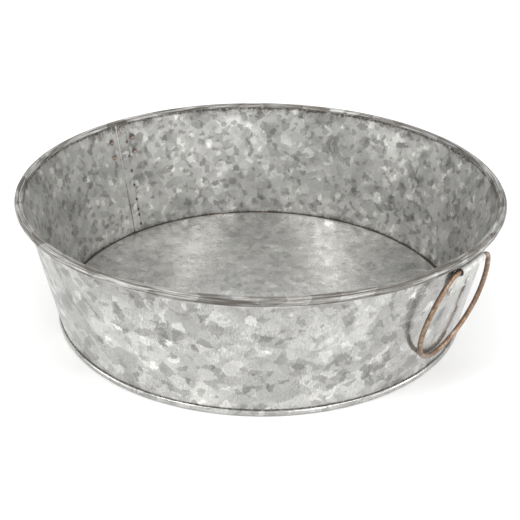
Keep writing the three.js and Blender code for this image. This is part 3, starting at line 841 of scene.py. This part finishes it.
def bezier(a, b, c, d, steps):
    points = []
    for i in range(1, steps + 1):
        t = i / steps
        weights = ((1 - t) ** 3, 3 * t * (1 - t) ** 2, 3 * t * t * (1 - t), t ** 3)
        points.append(tuple(sum(w * p[k] for w, p in zip(weights, (a, b, c, d))) for k in range(2)))
    return points


BRACKET_ROWS = 44                    # of the outer layer


def bracket_middle():
    neck_x = OUTER_LAYER + NECK_RADIUS
    neck_y = AXIS_UP - math.sqrt((SLEEVE_MIDDLE + NECK_RADIUS) ** 2 - (AXIS_OFFSET - neck_x) ** 2)
    to_neck = math.atan2(neck_y - AXIS_UP, neck_x - AXIS_OFFSET)
    halfway = (AXIS_UP + neck_y) / 2
    points = line((OUTER_LAYER, up_slope(BRACKET_BOTTOM, OUTER_LAYER)), (OUTER_LAYER, neck_y), BRACKET_ROWS)
    points += turn_points(neck_x, neck_y, NECK_RADIUS, math.pi, to_neck + math.pi, 0.15 * MM)[1:]
    points += turn_points(AXIS_OFFSET, AXIS_UP, SLEEVE_MIDDLE, to_neck, math.pi, 0.4 * MM)[1:]
    back = AXIS_OFFSET - SLEEVE_MIDDLE
    points += bezier((back, AXIS_UP), (back, halfway), (INNER_LAYER, halfway), (INNER_LAYER, neck_y), 12)
    points += line((INNER_LAYER, neck_y), (INNER_LAYER, up_slope(TAIL_BOTTOM, INNER_LAYER)), 5)[1:]
    return points


def make_bracket(side):
    middle = bracket_middle()
    half = BRACKET_WIDTH / 2
    across = [-half + BRACKET_WIDTH * i / 60 for i in range(61)]
    low = up_slope(BRACKET_BOTTOM, OUTER_LAYER)
    vertices, faces = [], []
    count = len(middle)
    for i, here in enumerate(middle):
        before, after = middle[max(i - 1, 0)], middle[min(i + 1, count - 1)]
        along = Vector((after[0] - before[0], after[1] - before[1])).normalized()
        square = Vector((-along.y, along.x)) * BRACKET_SHEET / 2
        for side_of_sheet in (1, -1):
            for y in across:
                x, z = here[0] + side_of_sheet * square.x, here[1] + side_of_sheet * square.y
                if i < count // 2 and z < low + BRACKET_CORNER:
                    edge = half - BRACKET_CORNER
                    if abs(y) > edge:
                        rise = math.sqrt(max(0.0, BRACKET_CORNER ** 2 - (abs(y) - edge) ** 2))
                        z = max(z, low + BRACKET_CORNER - rise)
                vertices.append((x, y, z))
    row, layer = 2 * len(across), len(across)
    for i in range(count - 1):
        for k in range(layer - 1):
            a, b = i * row + k, (i + 1) * row + k
            faces.append((a, a + 1, b + 1, b))
            faces.append((a + layer, b + layer, b + layer + 1, a + layer + 1))
        for k in (0, layer - 1):
            a, b = i * row + k, (i + 1) * row + k
            quad = (a, b, b + layer, a + layer)
            faces.append(quad if k == 0 else tuple(reversed(quad)))
    for i in (0, count - 1):
        for k in range(layer - 1):
            a = i * row + k
            quad = (a, a + layer, a + layer + 1, a + 1)
            faces.append(quad if i == 0 else tuple(reversed(quad)))
    piece = finish_mesh(f"bracket_strip_{side}", placed(vertices, handle_matrix(side)), faces, ZINC_SMALL,
                        "pan", [f"bracket_{side}"], 35)
    data = bmesh.new()
    data.from_mesh(piece.data)
    bmesh.ops.recalc_face_normals(data, faces=data.faces)
    data.to_mesh(piece.data)
    data.free()
    back = handle_matrix(side).inverted()

    def dirt_and_shade(place):
        spot = back @ place
        # Painted shade inside the sleeve, round the wire.
        inside = SLEEVE_MIDDLE - math.hypot(spot.x - AXIS_OFFSET, spot.z - AXIS_UP)
        if inside > 0.1 * MM and spot.z > AXIS_UP - SLEEVE_MIDDLE:
            return 0.95
        # Painted shade on the plate's cut edges and on its back near them, against the wall, and in the
        # crease under the sleeve.
        edge = max(fade(abs(spot.y) - half, 0.5 * MM), fade(spot.z - low, 0.6 * MM))
        mark = 0.8 * edge * (spot.x < BRACKET_FACE - 0.2 * MM)
        mark += 0.6 * fade(spot.z - middle[BRACKET_ROWS][1], 1.2 * MM)
        for row in RIVET_ROWS:
            for y in (-RIVET_SPACING / 2, RIVET_SPACING / 2):
                # A painted shadow falls under each head, most of all below it and to one side.
                away = math.hypot(spot.y - y + 0.5 * MM, spot.z - up_slope(row) + 0.7 * MM)
                mark += 0.95 * fade(away - 2.6 * MM, 1.1 * MM) * (spot.y < y + 1.2 * MM)
        return mark

    def rust(place):
        spot = back @ place
        return max(0.6 * fade(math.hypot(spot.y - y - 2.2 * MM, spot.z - up_slope(row) + 1.8 * MM), 1.3 * MM)
                   for row in RIVET_ROWS for y in (-RIVET_SPACING / 2, RIVET_SPACING / 2))

    paint(piece, "dirt_and_shade", dirt_and_shade)
    paint(piece, "rust", rust)


# ---- Rivets -------------------------------------------------------------------------------------
def wall_fall(side, height):
    radius = wall_radius(height)
    return radius - math.sqrt(radius ** 2 - side ** 2)


def make_rivet(side, number, height, y):
    seat = BRACKET_FACE + 0.05 * MM
    inner = -(SHEET + wall_fall(abs(y), height) + 0.1 * MM)
    head = RIVET_HEAD / 2
    outline = [(ON_AXIS, inner - 0.1 * MM), (0.5 * MM, inner - 0.1 * MM), (0.8 * MM, inner - 0.25 * MM),
               (1.1 * MM, inner - 0.85 * MM), (1.6 * MM, inner - 1.15 * MM), (2.2 * MM, inner - 1.0 * MM),
               (2.7 * MM, inner - 0.6 * MM), (2.8 * MM, inner - 0.25 * MM), (2.6 * MM, inner),
               (1.5 * MM, inner + 0.1 * MM), (1.5 * MM, seat - 0.05 * MM), (head, seat),
               (head * 1.0, seat + 0.25 * MM), (head * 0.93, seat + 0.5 * MM), (head * 0.8, seat + 0.78 * MM),
               (head * 0.55, seat + 1.0 * MM), (head * 0.28, seat + 1.1 * MM),
               (ON_AXIS, seat + 1.12 * MM)]
    azimuths = [2 * math.pi * i / 32 for i in range(32)]

    def shape(r, h, a, k):
        if h < inner + 0.05 * MM and r > 0.9 * MM:
            uneven = noise.noise(Vector((math.cos(a), math.sin(a), number * 2.3)) * 1.5)
            r *= 1 + 0.22 * uneven + 0.12 * abs(math.cos(a))
        return r, h

    vertices, faces = turned_grid(outline, azimuths, shape, on_axis=True)
    turn = Matrix.Rotation(math.pi / 2, 4, "Y")
    matrix = handle_matrix(side) @ Matrix.Translation((0, y, up_slope(height))) @ turn
    name = f"rivet_{side}_{number}"
    piece = finish_mesh(f"clinched_{name}", placed(vertices, matrix), faces, ZINC_SMALL, "pan", [name],
                        55)
    merge_close(piece)
    back = matrix.inverted()

    def dirt_and_shade(place):
        spot = back @ place
        # The clinched end inside is dark, and darker still on its upper part: painted shade under its rim.
        if spot.z < inner + 0.15 * MM:
            return 0.95 if spot.x < 0.6 * MM else 0.55
        # Painted shade in a ring where the head sits on the bracket.
        return 0.95 if spot.z < seat + 0.3 * MM else 0.0

    def rust(place):
        spot = back @ place
        if spot.z < inner + 0.15 * MM:
            return 1.0 - min(1.0, math.hypot(spot.x - 1.6 * MM, spot.y) / (2.6 * MM)) ** 2
        return 0.5 * (spot.z < seat + 0.2 * MM and spot.y > 0)

    paint(piece, "dirt_and_shade", dirt_and_shade)
    paint(piece, "rust", rust)


# ---- Spot welds down the side seam --------------------------------------------------------------
def make_weld(index, height):
    radius = wall_radius(height * MM, SHEET) - SHEET
    outline = [(ON_AXIS, 0.12 * MM), (0.5 * MM, 0.14 * MM), (0.8 * MM, 0.26 * MM), (1.05 * MM, 0.28 * MM),
               (1.25 * MM, 0.12 * MM), (1.3 * MM, -0.9 * MM), (ON_AXIS, -0.9 * MM)]
    spread = [2 * math.pi * i / 20 for i in range(20)]

    def shape(r, h, a, k):
        return r * (1 + 0.18 * noise.noise(Vector((math.cos(a), math.sin(a), index * 3.1)) * 1.2)), h

    vertices, faces = turned_grid(list(reversed(outline)), spread, shape, on_axis=True)
    matrix = (Matrix.Rotation(WELD_PLACE, 4, "Z") @ Matrix.Translation((radius, 0, height * MM))
              @ Matrix.Rotation(SLOPE, 4, "Y") @ Matrix.Rotation(-math.pi / 2, 4, "Y"))
    piece = finish_mesh(f"spot_weld_{index + 1}", placed(vertices, matrix), faces, SCORCH, "pan", (),
                        60)
    merge_close(piece)


# ---- Studio -------------------------------------------------------------------------------------
WORLD_LIGHT = 0.78
# Name, place in metres (right of the camera's view, behind the pan, up), size, watts.
LIGHTS = [
    ("key_right", (1.05, -0.95, 1.8), (0.6, 0.7), 14),
    ("key_left", (-1.2, -0.95, 1.8), (0.6, 0.7), 21),
    ("top", (0.0, 0.5, 2.0), (1.6, 1.6), 9),
    ("front", (0.0, -2.0, 0.8), (1.6, 0.6), 5),
    ("low_right", (0.75, -1.5, 0.42), (0.4, 0.3), 4.2),
    ("side_right", (1.9, -0.3, 0.9), (0.4, 0.4), 8),
    ("side_left", (-1.9, -0.3, 0.7), (0.8, 0.8), 5),
    ("ground_left", (-0.85, -0.25, 0.11), (0.5, 0.18), 1.2),
    ("ground_right", (0.85, -0.35, 0.11), (0.5, 0.18), 0.9),
    ("back", (0.05, 1.7, 1.3), (1.0, 1.0), 1.5),
]


def add_area(name, place, target, size, power):
    data = bpy.data.lights.new(name, "AREA")
    data.shape = "RECTANGLE"
    data.size, data.size_y = size
    data.energy = power
    lamp = bpy.data.objects.new(name, data)
    lamp.location = place
    lamp.rotation_euler = (Vector(target) - Vector(place)).to_track_quat("-Z", "Y").to_euler()
    bpy.context.scene.collection.objects.link(lamp)


def view_frame(right, back, up):
    """A place given as seen by the camera: to its right, away from it, and up."""
    azimuth = math.radians(VIEW_AZIMUTH)
    x_axis = Vector((math.cos(azimuth), math.sin(azimuth), 0))
    away = Vector((-math.sin(azimuth), math.cos(azimuth), 0))
    return x_axis * right + away * back + Vector((0, 0, up))


def add_studio():
    half = 3.0
    mesh = bpy.data.meshes.new("studio_floor")
    corners = [(-half, -half, 0), (half, -half, 0), (half, half, 0), (-half, half, 0)]
    mesh.from_pydata(corners, [], [(0, 1, 2, 3)])
    mesh.materials.append(pale_floor("studio_floor"))
    floor = bpy.data.objects.new("studio_floor", mesh)
    bpy.context.scene.collection.objects.link(floor)
    world = bpy.data.worlds.new("studio")
    bpy.context.scene.world = world
    world.use_nodes = True
    background = world.node_tree.nodes["Background"]
    background.inputs["Color"].default_value = (1, 1, 1, 1)
    background.inputs["Strength"].default_value = WORLD_LIGHT
    for name, place, size, power in LIGHTS:
        add_area(name, view_frame(*place), (0, 0, 0.05), size, power)
    view = bpy.context.scene.view_settings
    view.view_transform = "Standard"
    view.look = "None"


# ---- Build --------------------------------------------------------------------------------------
add_camera()
make_wall()
make_floor()
make_sealant()
frame["nodes"]["rim_wire"].data.materials.clear()
frame["nodes"]["rim_wire"].data.materials.append(ZINC_SMALL)
for side in SIDES:
    make_ring(side)
    make_bracket(side)
    number = 0
    for row in RIVET_ROWS:
        for y in (-RIVET_SPACING / 2, RIVET_SPACING / 2):
            number += 1
            make_rivet(side, number, row, y)
for index, height in enumerate(WELD_HEIGHTS):
    make_weld(index, height)
add_studio()
